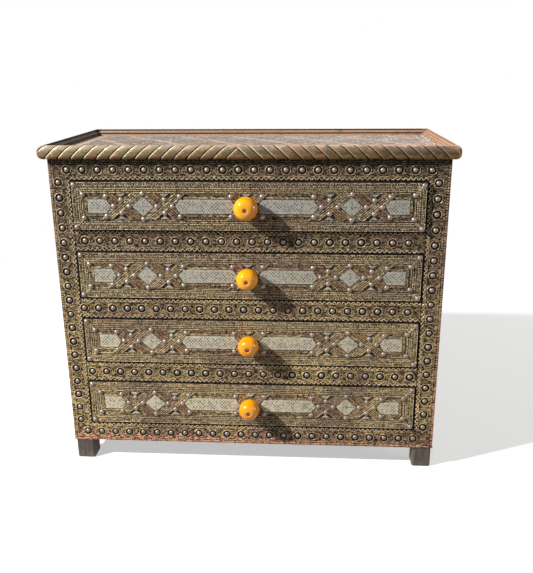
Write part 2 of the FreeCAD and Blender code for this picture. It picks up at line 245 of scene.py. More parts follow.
def line(bm, start, end, width, height, shape=BAR):
    """A raised line on the sheet."""
    run = Vector(end) - Vector(start)
    middle = (Vector(start) + Vector(end)) / 2
    stamp(bm, shape, [spot(*middle, math.atan2(run.y, run.x), (run.length, width, height))])


def zigzag():
    """One pitch of a zigzag: two ridges that meet inwards, with a dark dent between them."""
    bm = relief_mesh()
    for side in (1, -1):
        line(bm, (side * 3.9, -2.1), (side * 0.2, 2.1), 1.2, 0.5)
    stamp(bm, DENT, [spot(0, -1.0, 0, (2.2, 2.0, 0.12))])
    return frozen(bm, "zigzag")


ZIGZAG = zigzag()


def extruded(bm, face, way):
    """Closes a shape from a face to its copy further on, which it returns."""
    made = bmesh.ops.extrude_face_region(bm, geom=[face])["geom"]
    moved = [item for item in made if isinstance(item, bmesh.types.BMVert)]
    bmesh.ops.translate(bm, verts=moved, vec=way)
    bmesh.ops.recalc_face_normals(bm, faces=bm.faces)
    return next(item for item in made if isinstance(item, bmesh.types.BMFace))


def plate(bm, outline, depth, front=0.0):
    """A flat plate from behind the sheet's plane to its front. Returns the front face."""
    back = bm.faces.new([bm.verts.new((x, y, -depth)) for x, y in outline])
    return extruded(bm, back, (0, 0, depth + front))


def nest(bm, face, steps):
    """Presses lines into a face, one inside the other, from (width, rise, relief) steps."""
    for width, rise, relief in steps:
        bmesh.ops.inset_region(bm, faces=[face], thickness=width, depth=rise,
                               use_even_offset=True, use_boundary=True)
        mark(bm, face.verts, relief)


def slice_at(bm, point, way, clear=True):
    """Cuts a shape at a plane, clears what lies out of it, and returns what lies on it."""
    return bmesh.ops.bisect_plane(bm, geom=bm.verts[:] + bm.edges[:] + bm.faces[:],
                                  plane_co=point, plane_no=way, clear_outer=clear)["geom_cut"]


def cut_off(bm, cuts):
    """Cuts a closed shape off at planes, each given as a point and a way out on the sheet."""
    for point, way in cuts:
        cut = slice_at(bm, (*point, 0), (*way, 0))
        rim = [item for item in cut if isinstance(item, bmesh.types.BMEdge)]
        bmesh.ops.holes_fill(bm, edges=rim, sides=0)


def rectangle(x_low, x_high, y_low, y_high):
    """The corners of a rectangle, anticlockwise."""
    return [(x_low, y_low), (x_high, y_low), (x_high, y_high), (x_low, y_high)]


def around(points):
    """The two ends of each side of an outline."""
    return zip(points, points[1:] + points[:1])


def widened(outline, by):
    """A convex outline, drawn anticlockwise, moved out by a distance."""
    points = [Vector(point) for point in outline]
    moved = []
    for before, (here, after) in zip(points[-1:] + points[:-1], around(points)):
        first = Vector((here.y - before.y, before.x - here.x)).normalized()
        second = Vector((after.y - here.y, here.x - after.x)).normalized()
        moved.append(here + (first + second) * (by / (1 + first.dot(second))))
    return moved


def corners_of(points):
    """The lowest and the highest corner of some points."""
    sides = list(zip(*points))
    return Vector([min(side) for side in sides]), Vector([max(side) for side in sides])


def solids_of(node):
    """The points of each separate solid in a node, in millimetres."""
    bm = bmesh.new()
    bm.from_mesh(frame["nodes"][node].data)
    bmesh.ops.remove_doubles(bm, verts=bm.verts, dist=1e-6)
    waiting = set(bm.verts)
    solids = []
    while waiting:
        reached = [waiting.pop()]
        points = []
        while reached:
            vert = reached.pop()
            points.append(vert.co / MM)
            for edge in vert.link_edges:
                other = edge.other_vert(vert)
                if other in waiting:
                    waiting.remove(other)
                    reached.append(other)
        solids.append(points)
    bm.free()
    return solids


def middles_of(node):
    """The middle of each separate solid in a node, from left to right and then upwards."""
    middles = []
    for points in solids_of(node):
        low, high = corners_of(points)
        middles.append((low + high) / 2)
    return sorted(middles, key=lambda middle: [round(value, 2) for value in middle])


# Colours and textures


class Signal:
    """An output in a shader tree. It adds up and multiplies like a number."""

    def __init__(self, socket):
        self.socket = socket
        self.tree = socket.id_data

    def __add__(self, other):
        return maths("ADD", self, other)

    def __sub__(self, other):
        return maths("SUBTRACT", self, other)

    def __mul__(self, other):
        return maths("MULTIPLY", self, other)

    def __truediv__(self, other):
        return maths("DIVIDE", self, other)

    def __abs__(self):
        return maths("ABSOLUTE", self, 0.0)


def add(tree, kind, inputs, **settings):
    """Adds a node. An input is a value, or the signal that it is linked to."""
    node = tree.nodes.new("ShaderNode" + kind)
    for name, value in settings.items():
        setattr(node, name, value)
    for name, value in inputs.items():
        if isinstance(value, Signal):
            tree.links.new(value.socket, node.inputs[name])
        else:
            node.inputs[name].default_value = value
    return node


def derived(kind, inputs, output=0, **settings):
    """A signal that a new node makes from others, in the tree that they are in."""
    tree = next(value.tree for value in inputs.values() if isinstance(value, Signal))
    return Signal(add(tree, kind, inputs, **settings).outputs[output])


def maths(operation, first, second):
    return derived("Math", {0: first, 1: second}, operation=operation)


def larger(first, second):
    return maths("MAXIMUM", first, second)


def mixed(share, first, second, **settings):
    return derived("Mix", {0: share, 6: first, 7: second}, 2, data_type="RGBA", **settings)


def ramp(value, low, high, to_low=0.0, to_high=1.0):
    inputs = {"Value": value, "From Min": low, "From Max": high, "To Min": to_low, "To Max": to_high}
    return derived("MapRange", inputs, interpolation_type="SMOOTHSTEP")


def noise(place, scale, detail=2.0, distortion=0.0):
    inputs = {"Vector": place, "Scale": scale, "Detail": detail, "Distortion": distortion}
    return derived("TexNoise", inputs, "Fac")


def stretched(place, factors):
    return derived("VectorMath", {0: place, 1: factors}, operation="MULTIPLY")


def stored(tree, name):
    return Signal(add(tree, "Attribute", {}, attribute_name=name).outputs["Fac"])


def object_place(tree):
    return Signal(add(tree, "TexCoord", {}).outputs["Object"])


def axes_of(place):
    return [Signal(socket) for socket in add(place.tree, "SeparateXYZ", {0: place}).outputs]


def colour(red, green, blue):
    """A colour from values of 0 to 255 on the screen."""
    shares = [value / 255 for value in (red, green, blue)]
    return (*[s / 12.92 if s <= 0.04045 else ((s + 0.055) / 1.055) ** 2.4 for s in shares], 1)


def open_group(name, **kinds):
    """A shader node group, and its inputs, listed by their kind, as signals."""
    tree = bpy.data.node_groups.new(name, "ShaderNodeTree")
    for kind, labels in kinds.items():
        for label in labels:
            tree.interface.new_socket(label, in_out="INPUT", socket_type="NodeSocket" + kind)
    source = tree.nodes.new("NodeGroupInput")
    return tree, {socket.name: Signal(socket) for socket in source.outputs}


def close_group(tree, outputs):
    """Links a group's outputs, of which Colour is a colour and the others are numbers."""
    for label in outputs:
        kind = "Color" if label == "Colour" else "Float"
        tree.interface.new_socket(label, in_out="OUTPUT", socket_type="NodeSocket" + kind)
    sink = tree.nodes.new("NodeGroupOutput")
    for label, signal in outputs.items():
        tree.links.new(signal.socket, sink.inputs[label])
    return tree


def make_tarnish():
    """Punched metal: dark in its recesses, worn bright on its ridges, in two shades."""
    tree, given = open_group("tarnish", Float=("Second Share", "Grime", "Punches"),
                             Color=("Recess Colour", "Metal Colour", "Second Colour", "Worn Colour"))
    place = object_place(tree)
    streaked = stretched(place, (0.45, 1.0, 1.0))
    coarse = noise(place, 120, 3)
    fine = noise(streaked, 460, 3)
    dots = derived("TexVoronoi", {"Vector": place, "Scale": 350, "Randomness": 0.9}, "Distance")
    punched = ramp(dots, 0.18, 0.42, 1, 0)
    mottle = (coarse - 0.5) * 0.5 + (fine - 0.5) * 2.6
    wear = stored(tree, "relief") + mottle * given["Grime"] - punched * given["Punches"]
    broad = noise(place, 9, 4, 0.5) - 0.5
    speck = noise(streaked, 200, 3) - 0.5
    second = ramp(broad * 3.2 + speck * 2.6 + given["Second Share"], 0.05, 0.95)
    body = mixed(second, given["Metal Colour"], given["Second Colour"])
    toned = mixed(ramp(wear, 0.0, 0.4), given["Recess Colour"], body)
    bright = mixed(second * 0.4, given["Worn Colour"], given["Second Colour"])
    return close_group(tree, {"Colour": mixed(ramp(wear, 0.45, 1.05), toned, bright),
                              "Roughness": ramp(wear, 0.0, 1.0, 0.75, 0.36),
                              "Metallic": ramp(wear, 0.2, 1.0, 0.0, 0.3),
                              "Height": coarse + fine - punched})


def make_grain():
    """Wood grain that runs along the axis with the smallest stretch."""
    tree, given = open_group("wood_grain", Color=("Light Colour", "Dark Colour"),
                             Vector=("Stretch",), Float=("Wear",))
    place = object_place(tree)
    along = stretched(place, given["Stretch"])
    rings = noise(along, 9, 4, 1.2)
    fibres = noise(along, 55, 3, 0.3)
    tone = rings * 0.6 + fibres * 0.4
    base = mixed(ramp(tone, 0.34, 0.66), given["Dark Colour"], given["Light Colour"])
    aged = mixed(ramp(noise(place, 6, 3), 0.4, 0.75, 0, 0.45), base, given["Dark Colour"])
    worn = mixed(given["Wear"] * ramp(fibres, 0.35, 0.6), aged, given["Light Colour"])
    return close_group(tree, {"Colour": worn, "Roughness": ramp(fibres, 0.3, 0.7, 0.72, 0.55),
                              "Height": tone})


def new_material(name, **settings):
    """A material whose constant values go straight on its shader's sockets."""
    material = bpy.data.materials.new(name)
    material.use_nodes = True
    shader = material.node_tree.nodes["Principled BSDF"]
    for label, value in settings.items():
        shader.inputs[label.replace("_", " ")].default_value = value
    return material, material.node_tree


def feed(material, links, height=None, strength=0.3, distance=0.0003):
    """Links signals to a material's shader, and a height to its normal through a bump."""
    tree = material.node_tree
    if height is not None:
        bump = {"Height": height, "Strength": strength, "Distance": distance}
        links = {**links, "Normal": derived("Bump", bump)}
    for label, signal in links.items():
        tree.links.new(signal.socket, tree.nodes["Principled BSDF"].inputs[label])
    return material


def feed_group(material, group, values, strength, distance):
    """Links all that a group gives to a material's shader."""
    outputs = add(material.node_tree, "Group", values, node_tree=group).outputs
    links = {name: Signal(socket) for name, socket in outputs.items()}
    links["Base Color"] = links.pop("Colour")
    height = links.pop("Height")
    return feed(material, links, height, strength, distance)


def embossed_metal(name, shades, tinted, second_share, grime, punches, lower=None):
    """Metal in the shades recess, metal, second and worn. Its tint turns it to another colour.

    lower is the metal's colour near the floor, lighter than higher up. Under the moulding it is painted
    darker: painted shade for the moulding's shadow, with some grime.
    """
    material, tree = new_material(name, Specular_IOR_Level=0.12)
    recess, metal, second, worn = shades
    if lower:
        height = axes_of(object_place(tree))[2]
        metal = mixed(ramp(height, 0.1, 0.5), lower, metal)
        # Painted shade below the moulding, standing for its shadow, with some grime
        shade_and_grime_under_moulding = ramp(height, (BODY_TOP - 24.5) * MM, (BODY_TOP - 4.5) * MM, 0.0, 0.6)
        metal, second, worn = [mixed(shade_and_grime_under_moulding, shade, recess) for shade in (metal, second, worn)]
    tint = stored(tree, "tint")
    values = {"Recess Colour": recess, "Metal Colour": mixed(tint, metal, tinted),
              "Second Colour": mixed(tint, second, tinted), "Worn Colour": worn,
              "Second Share": second_share, "Grime": grime, "Punches": punches}
    return feed_group(material, tarnish, values, 0.8, 0.0008)


def nose_metal(name):
    """The moulding, from below: a dark edge, gold, olive, and rosy on top. The bands are partly its tarnish
    and partly painted shade and painted reflection round the nose; the dark underside edge is painted shade.
    Its middle bands and highlights are painted lighter on the left half: painted light from the left.

    The rim's left end is painted darker on its top and inside, but for the ledge of its first step down:
    painted shade on the inner steps, which face away from the light. Its right end is painted rosy inside,
    where its inner steps face the light: painted light.
    """
    material, tree = new_material(name, Specular_IOR_Level=0.12)
    place = object_place(tree)
    x, y, z = axes_of(place)
    # across runs from the left half to the right, painted lighter on the left as light from the left; climb
    # runs up the nose, whose bands are partly painted shade and reflection
    across = ramp(x, -0.3, 0.3)
    climb = stored(tree, "tint") + (noise(place, 70, 4) - 0.5) * 0.7
    bands = [(-0.06, 0.1, colour(148, 98, 66), colour(158, 122, 66)),
             (0.1, 0.4, colour(112, 99, 74), colour(74, 65, 50)),
             (0.45, 0.8, colour(134, 118, 96), colour(108, 90, 74)),
             (0.8, 1.0, colour(148, 125, 106), colour(178, 142, 116))]
    body = colour(60, 42, 28)
    for low, high, left, right in bands:
        body = mixed(ramp(climb, low, high), body, mixed(across, left, right))

    def beyond(value, start, near, far, *shares):
        """A ramp between two distances from a side of the rim."""
        return ramp(value, (start + near) * MM, (start + far) * MM, *shares)

    ledge = (RIM_HIGH.z - STEP_DOWN) * MM
    # Painted shade on the left rim's top and inner steps, which face away from the light; the ledge is left
    # out
    dark = larger(beyond(x, RIM_LOW.x, 8, 9), beyond(z, RIM_HIGH.z, -2.5, -1))
    dark = dark * ramp(abs(z - ledge), 0.6 * MM, 1.2 * MM)
    dark = dark * beyond(x, RIM_LOW.x, 18, 21, 1, 0) * beyond(y, RIM_LOW.y, 8.4, 14.4)
    body = mixed(dark, body, colour(66, 50, 36))
    # Recesses at the right end are painted rosy, not dark: painted light on the inner steps that face the
    # light
    recess = mixed(beyond(x, RIM_HIGH.x, -22, -18.5), colour(20, 14, 9), colour(136, 100, 76))
    values = {"Recess Colour": recess, "Metal Colour": body,
              "Second Colour": mixed(0.5, body, colour(160, 112, 80)),
              "Worn Colour": mixed(across, colour(244, 226, 184), colour(148, 126, 96)),
              "Second Share": 0.0, "Grime": 0.3, "Punches": 0.0}
    return feed_group(material, tarnish, values, 0.3, 0.0005)


def plain_nickel(name, tone, dark):
    """Dull nails, each a little different, painted darker round the rim: painted shade at the edge of each
    head.
    """
    material, tree = new_material(name, Metallic=0.45, Specular_IOR_Level=0.4)
    place = object_place(tree)
    wear = stored(tree, "relief") + (noise(place, 260, 3) - 0.5)
    patch = ramp(noise(place, 45, 2), 0.35, 0.7)
    nickel = mixed(ramp(wear, 0.05, 0.5), dark, mixed(patch, tone, colour(150, 134, 124)))
    toned = mixed(stored(tree, "tint"), nickel, colour(226, 224, 214), blend_type="MULTIPLY")
    return feed(material, {"Base Color": toned, "Roughness": ramp(wear, 0.1, 1.0, 0.6, 0.3)},
                noise(place, 420, 3), 0.35, 0.0004)


def stripes(value, pitch, share):
    """A mask of lines across a value, one in each pitch, that fill a share of it."""
    return ramp(maths("PINGPONG", value / pitch, 0.5), share * 0.35, share * 0.65, 1, 0)


def engraved_lines(tree):
    """Fine engraved lines: a lozenge net on long plates, and veins from a cross on diamonds."""
    pitch = 5.9
    run = stored(tree, "run")
    rise = stored(tree, "rise")
    away = abs(run)
    height = abs(rise)
    net = larger(stripes(run + rise, pitch, 0.36), stripes(run - rise, pitch, 0.36))
    beads = stripes(run, pitch * 0.6, 0.5) * ramp(height, 9.4, 9.9)
    net = larger(net * ramp(height, 9.0, 9.4, 1, 0), beads)
    veins = stripes(away * 1.3 - height, pitch * 0.9, 0.5)
    stem = larger(ramp(away, 0.5, 0.9, 1, 0), ramp(height, 0.5, 0.9, 1, 0))
    lines = derived("Mix", {0: stored(tree, "fan"), 2: net, 3: larger(veins, stem)})
    return lines * ramp(noise(object_place(tree), 240, 3), 0.4, 0.6, 0.3, 1.0)


def engraved_bone(name):
    """Bone, grey on the upper drawers and creamy on the lower ones."""
    material, tree = new_material(name, Metallic=0.0, Specular_IOR_Level=0.4)
    lines = engraved_lines(tree)
    place = object_place(tree)
    base = mixed(ramp(axes_of(place)[2], 0.08, 0.5), colour(214, 203, 174), colour(160, 157, 148))
    stain = ramp(noise(place, 60, 4), 0.35, 0.75, 0, 0.45)
    aged = mixed(stain, base, colour(168, 156, 130))
    inked = mixed(lines * 0.85, aged, colour(56, 50, 42))
    return feed(material, {"Base Color": inked, "Roughness": ramp(stain, 0, 0.5, 0.42, 0.6)},
                maths("SUBTRACT", 1.0, lines), 0.5, 0.0003)


def sawn_wood(name, light, dark, stretch, worn_below=0.0):
    """Wood, with its grain along one axis, and worn lighter below a height if one is given."""
    material, tree = new_material(name, Metallic=0.0)
    values = {"Light Colour": light, "Dark Colour": dark, "Stretch": stretch}
    if worn_below:
        values["Wear"] = ramp(axes_of(object_place(tree))[2], worn_below * 0.25, worn_below, 1, 0)
    return feed_group(material, grain, values, 0.4, 0.0005)


def amber_resin(name):
    """Polished resin beads: clouded yellow, deeper orange in places, and painted dark down the hole: painted
    shade.
    """
    material, tree = new_material(name, Metallic=0.0, Specular_IOR_Level=0.4,
                                  Coat_Weight=0.1, Coat_Roughness=0.05,
                                  Subsurface_Weight=0.1, Subsurface_Scale=0.01,
                                  Subsurface_Radius=(1.0, 0.45, 0.08))
    place = object_place(tree)
    cloud = noise(place, 38, 3, 0.8)
    amber = mixed(ramp(cloud, 0.35, 0.7), colour(236, 156, 0), colour(226, 136, 0))
    # Painted shade: the resin darkens down its hole
    shade_in_hole = mixed(ramp(stored(tree, "relief"), 0.0, 0.5), colour(120, 50, 6), amber)
    return feed(material, {"Base Color": shade_in_hole, "Roughness": ramp(cloud, 0.3, 0.8, 0.12, 0.22)},
                noise(place, 30, 2), 0.12, 0.0006)


def plain_steel(name):
    material, tree = new_material(name, Metallic=0.9)
    spots = noise(object_place(tree), 700, 3)
    steel = mixed(ramp(spots, 0.4, 0.7), colour(120, 114, 112), colour(84, 74, 68))
    return feed(material, {"Base Color": steel, "Roughness": ramp(spots, 0.3, 0.7, 0.35, 0.6)}, spots)


tarnish = make_tarnish()
grain = make_grain()

ALONG_X = (1.0, 12.0, 12.0)
ALONG_Y = (12.0, 1.0, 12.0)
ALONG_Z = (12.0, 12.0, 1.0)
BOARD_LIGHT = colour(158, 116, 74)
BOARD_DARK = colour(104, 70, 42)
olive_shades = (colour(8, 6, 4), colour(104, 90, 64), colour(132, 107, 86), colour(240, 218, 178))
rose_shades = (colour(76, 65, 58), colour(152, 138, 125), colour(164, 141, 126), colour(194, 178, 161))
finish_of = {
    "frame_metal": embossed_metal("olive_brass", olive_shades, colour(210, 142, 118), 0.46, 0.66, 0.34,
                                  colour(182, 156, 106)),
    "moulding_metal": nose_metal("moulding_brass"),
    "top_metal": embossed_metal("rose_top", rose_shades, colour(122, 124, 118), 0.45, 0.55, 0.2),
    "nail_metal": plain_nickel("nickel_nails", colour(138, 128, 120), colour(42, 36, 31)),
    "bone": engraved_bone("engraved_bone"),
    "carcass_wood": sawn_wood("boards_across", BOARD_LIGHT, BOARD_DARK, ALONG_X),
    "panel_wood": sawn_wood("thin_ply", colour(190, 158, 114), colour(152, 118, 78), ALONG_X),
    "foot_wood": sawn_wood("stained_feet", colour(100, 86, 72), colour(44, 41, 40), ALONG_Z, 0.02),
    "knob_resin": amber_resin("amber_resin"),
    "screw_steel": plain_steel("plain_steel"),
}
upright_boards = sawn_wood("boards_upright", BOARD_LIGHT, BOARD_DARK, ALONG_Z)
deep_boards = sawn_wood("boards_front_to_back", BOARD_LIGHT, BOARD_DARK, ALONG_Y)


def shown(name, data):
    """An object in the scene, at the origin."""
    item = bpy.data.objects.new(name, data)
    bpy.context.scene.collection.objects.link(item)
    return item


def put(bm, node, place=TOP, plane=0.0, sharp=40):
    """Finishes a piece that stands for a node: laid on its plane, in metres, on its body."""
    bm.transform(Matrix.Scale(MM, 4) @ place @ Matrix.Translation((0, 0, plane)))
    mesh = frozen(bm, node + "_finished")
    mesh.materials.append(finish_of[slot_of[node]])
    mesh.shade_smooth()
    mesh.set_sharp_from_angle(angle=math.radians(sharp))
    piece = shown(node + "_finished", mesh)
    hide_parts(node)
    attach(piece, body_of[node])


# Front frame

# From the edge of a strip inwards: width, rise and relief. Its zigzag stands in the broad ring. Its first,
# dark line is painted shade of the gap beside the drawers, and a dark line at its joints.
STRIP_EDGE = [(1.3, 0.0, -1.5), (0.3, 0.1, 0.6), (0.5, -0.1, 0.2), (4.1, 0.0, 0.2), (0.4, 0.3, 0.6),
              (0.6, 0.0, 0.5), (0.4, -0.25, 0.25)]
STRIP_OVERRUN = 30.0
OUTER_EDGE = 1.4
ROPE_END_GAP = 6.0
# How far a stud of the stiles may be from the side, the bottom and the top of the chest
STILE_REACH = 24.0
FIRST_STUD = 38.0
LAST_STUD = 34.0
# The cross between two studs, and the dents in it
LINK_REACH = 7.0
LINK_RISE = 9.6
DENT_RISE = 7.6
# Rosy wear: how high on the bottom strip, and how broad and high on the right stile
ROSY_STRIP = 12.0
ROSY_SIDE = 3.0
ROSY_LEVEL = 200.0
ROSY_SPLITS = (150.0, 330.0)


def zigzag_row(bm, start, end):
    edge_row(bm, ZIGZAG, start, end, 3.7, 8.4)


def rope_row(bm, start, end, pitch=3.4, tint=0.0):
    edge_row(bm, LOZENGE, start, end, 3.4, pitch, (1.05, 2.6, 0.6), -38, tint)


def cups_and_links(bm, studs):
    """A dished ring round each stud, and a cross of lines with two triangles between each pair."""
    for x, y in studs:
        jitter = 1 + dice.uniform(-0.04, 0.04)
        stamp(bm, CUP, [spot(x, y, dice.uniform(0, 1), (jitter, jitter, 1))])
    for start, end in zip(studs, studs[1:]):
        along = (Vector(end) - Vector(start)).normalized()
        across = Vector((-along.y, along.x))
        middle = (Vector(start) + Vector(end)) / 2
        for side in (1, -1):
            for way in (1, -1):
                tip = middle + along * way * LINK_REACH + across * side * LINK_RISE
                line(bm, middle, tip, 1.0, 0.35, FAINT_BAR)
            turn = math.atan2(along.y, along.x) + (0 if side < 0 else math.pi)
            stamp(bm, DENT, [spot(*(middle + across * side * DENT_RISE), turn, (1.6, 1.8, 0.12))])


def stud_heads(bm, shape, studs, tint):
    """A head on each stud's place, a little tilted."""
    for x, y in studs:
        size = 1 + dice.uniform(-0.03, 0.03)
        tilt = Matrix.Rotation(math.radians(dice.uniform(-4, 4)), 4, (dice.uniform(-1, 1), 1, 0))
        place = Matrix.Translation((x, y, 0)) @ tilt @ Matrix.Diagonal((size, size, 1, 1))
        stamp(bm, shape, [place], tint)


def strip(bm, outline, cuts, outer=None, tint_at=None, splits=()):
    """A strip of embossed sheet with pressed lines along its sides, cut off at both ends.

    outer is its edge on the outline of the chest, as an axis and a place on it. tint_at gives the
    tint at a place, and splits are the levels that need points for it.
    """
    part = relief_mesh()
    nest(part, plate(part, outline, SHEET), STRIP_EDGE)
    if outer:
        axis, edge = outer
        mark(part, [vert for vert in part.verts if abs(vert.co[axis] - edge) < OUTER_EDGE], 0.3)
    for level in splits:
        slice_at(part, (0, level, 0), (0, 1, 0), clear=False)
    if tint_at:
        mark(part, part.verts, tint_at, "tint")
    cut_off(part, cuts)
    bm.from_mesh(frozen(part, "strip"))


def mitre(x, y):
    """A corner of the frame, by its side and its end: inner point, outer point and way across."""
    inner = Vector((x * OPENING_HALF, OPENINGS_TOP if y > 0 else OPENINGS_BASE))
    outer = Vector((x * BODY_HALF, BODY_TOP if y > 0 else BODY_BASE))
    return inner, outer, Vector((x * (BODY_TOP - OPENINGS_TOP), -y * (BODY_HALF - OPENING_HALF)))


def rail_strips(studs):
    """The strips on the rails. The top and the bottom one are mitred into the stiles."""

    def mitre_cuts(end):
        return [(inner, way) for inner, outer, way in (mitre(-1, end), mitre(1, end))]

    levels = [(OPENINGS_TOP, BODY_TOP, mitre_cuts(1)), (BODY_BASE, OPENINGS_BASE, mitre_cuts(-1))]
    for number in (2, 3, 4):
        low = box_of("drawer_%d_front_sheet" % number)[1].z + DRAWER_GAP
        high = box_of("drawer_%d_front_sheet" % (number - 1))[0].z - DRAWER_GAP
        levels.append((low, high, [((x * OPENING_HALF, low), (x, 0)) for x in (-1, 1)]))

    def rosy_foot(place):
        if place.y >= BODY_BASE + ROSY_STRIP:
            return 0.0
        return 0.9 if place.x < 0 else 0.05

    bm = relief_mesh()
    reach = BODY_HALF + STRIP_OVERRUN
    rope = BODY_HALF - ROPE_END_GAP
    for low, high, ends in levels:
        outer = (1, BODY_BASE) if low == BODY_BASE else None
        strip(bm, rectangle(-reach, reach, low, high), ends, outer, rosy_foot)
        cups_and_links(bm, [(x, y) for x, y in studs
                            if low < y < high and abs(x) < BODY_HALF - STILE_REACH])
        if low > BODY_BASE:
            zigzag_row(bm, (-OPENING_HALF, low), (OPENING_HALF, low))
        else:
            rope_row(bm, (-rope, low), (rope, low), tint=0.6)
        if high < BODY_TOP:
            zigzag_row(bm, (OPENING_HALF, high), (-OPENING_HALF, high))
        else:
            rope_row(bm, (rope, high), (-rope, high))
    return bm


def stile_strips(studs):
    """The strips on the stiles, with a line along each mitre."""

    def rosy_edge(place):
        return 0.8 if place.x > BODY_HALF - ROSY_SIDE and place.y < ROSY_LEVEL else 0.0

    bm = relief_mesh()
    for side in (-1, 1):
        near, far = side * OPENING_HALF, side * BODY_HALF
        corners = [mitre(side, end) for end in (1, -1)]
        outline = rectangle(*sorted((near, far)), BODY_BASE - STRIP_OVERRUN, BODY_TOP + STRIP_OVERRUN)
        wear = (rosy_edge, ROSY_SPLITS) if side > 0 else ()
        strip(bm, outline, [(inner, -way) for inner, outer, way in corners], (0, far), *wear)
        cups_and_links(bm, [(x, y) for x, y in studs if abs(x * side - BODY_HALF) < STILE_REACH
                            and BODY_BASE + FIRST_STUD < y < BODY_TOP - LAST_STUD])
        zigzag_row(bm, *[(near, OPENINGS_TOP), (near, OPENINGS_BASE)][::side])
        rope_row(bm, *[(far, BODY_BASE + ROPE_END_GAP), (far, BODY_TOP - ROPE_END_GAP)][::side],
                 pitch=4.4, tint=0.6 if side > 0 else 0.2)
        for inner, outer, way in corners:
            run = (outer - inner).normalized() * 4
            off = way.normalized() * -2.2
            line(bm, inner + run + off, outer - run + off, 1.0, 0.3, FAINT_BAR)
    return bm


def front_frame():
    plane = -box_of("rail_strips")[0].y
    studs = [(middle.x, middle.z) for middle in middles_of("frame_studs")]
    put(rail_strips(studs), "rail_strips", FRONT, plane)
    put(stile_strips(studs), "stile_strips", FRONT, plane)
    heads = relief_mesh()
    stud_heads(heads, STUD, studs, 1.0)
    put(heads, "frame_studs", FRONT, plane, sharp=50)


# Drawers

FRONT_SINK = 0.6
# From the edge of a drawer front inwards: width, rise and relief of each pressed line. The first two are
# dark: painted shade of the gap round the drawer.
FRONT_BORDER = [(0.35, 0.4, -1.5), (0.9, 0.2, -1.5), (0.3, 0.0, 0.8), (0.8, 0.0, 0.75), (0.4, -0.5, -0.2),
                (0.4, 0.2, 0.2), (2.75, 0.0, 0.2), (0.4, -0.25, -0.2), (0.4, 0.5, 0.8), (0.6, 0.0, 0.75),
                (0.4, -0.45, -0.2), (2.7, 0.0, 0.15), (0.4, -0.2, -0.2), (0.4, 0.55, 0.9), (0.7, 0.0, 0.85),
                (0.4, -0.5, -0.2), (2.4, 0.0, 0.1), (0.4, 0.5, 0.8), (0.7, 0.0, 0.75), (0.4, -0.45, -0.3),
                (1.5, 0.0, 0.1), (0.4, 0.4, 0.8), (0.6, 0.0, 0.75), (0.4, -0.4, 0.25)]
# Rows of small marks between the lines: stamp, inset, pitch, size and turn
FRONT_ROWS = [(LOZENGE, 4.5, 4.4, (2.3, 0.9, 0.5), 18), (LOZENGE, 9.1, 2.8, (0.75, 1.9, 0.5), -32),
              (LOZENGE, 13.7, 3.0, (1.15, 1.15, 0.6), 0)]
CORNER_LINE = (4, 21)
BAND_RIBS = 4
BAND_LENGTH = 150.0
# A groove between two ribs: half its width at its top and at its floor, and its depth
GROOVE_TOP = 0.7
GROOVE_FLOOR = 0.35
GROOVE_SINK = 0.4
# The pressed rim round a bone plate, which small plates have only as a flat seat
BONE_RIM = [(0.3, 0.0, -0.2), (0.4, 0.35, 0.75), (0.5, 0.0, 0.7), (0.4, -0.35, -0.1),
            (0.7, 0.0, 0.25), (0.4, 0.3, 0.7), (0.6, 0.0, 0.6), (0.4, -0.5, -0.4)]
BONE_RIM_REACH = 4.8
BONE_SEAT_REACH = 0.9
BONE_SOFTENING = 0.3
SMALL_BONE = 20.0
DIAMOND_WIDTHS = (30.0, 42.0)


def convex_outline(points):
    """The outline of a solid seen from the front, anticlockwise and without points on its runs."""
    flat = sorted({(round(point.x, 2), round(point.z, 2)) for point in points})
    return [Vector(flat[i]) for i in geometry.convex_hull_2d([Vector(point) for point in flat])]


def band_mesh(centre, turn, cuts, high):
    """A ribbed metal band through a point, cut off at planes given as a point and a way out."""
    bm = relief_mesh()
    half = BAND_WIDTH / 2
    profile = [(-half, 0), (-half, BAND_HEIGHT)]
    for i in range(1, BAND_RIBS):
        across = -half + i * (BAND_WIDTH / BAND_RIBS)
        floor = BAND_HEIGHT - GROOVE_SINK
        profile += [(across - GROOVE_TOP, BAND_HEIGHT), (across - GROOVE_FLOOR, floor),
                    (across + GROOVE_FLOOR, floor), (across + GROOVE_TOP, BAND_HEIGHT)]
    profile += [(half, BAND_HEIGHT), (half, 0)]
    end = bm.faces.new([bm.verts.new((-BAND_LENGTH / 2, across, height)) for across, height in profile])
    extruded(bm, end, (BAND_LENGTH, 0, 0))
    mark(bm, bm.verts, -0.5)
    mark(bm, [vert for vert in bm.verts if vert.co.z > BAND_HEIGHT - 0.1], high)
    bm.transform(spot(*centre, turn))
    cut_off(bm, cuts)
    return frozen(bm, "band")


def crossing_bands(middle, half_height, half_width):
    """Two bands over each crossing; the falling one is cut in two by the rising one."""
    bm = relief_mesh()
    limit = half_width - MITRE_NAIL_INSET
    edges = [-limit] + [(a + b) / 2 for a, b in zip(CROSSINGS, CROSSINGS[1:])] + [limit]
    for x, left, right in zip(CROSSINGS, edges, edges[1:]):
        centre = Vector((x, middle))
        room = [((0, middle + half_height), (0, 1)), ((0, middle - half_height), (0, -1)),
                ((left, middle), (-1, 0)), ((right, middle), (1, 0))]
        stamp(bm, band_mesh(centre, BAND_ANGLE, room, 0.6), [spot(0, 0)])
        across = Vector((-math.sin(BAND_ANGLE), math.cos(BAND_ANGLE)))
        for side in (1, -1):
            edge = centre + across * side * (BAND_WIDTH / 2 + 0.1)
            half = band_mesh(centre, -BAND_ANGLE, room + [(edge, across * -side)], 0.4)
            stamp(bm, half, [spot(0, 0)], 0.15)
    return bm


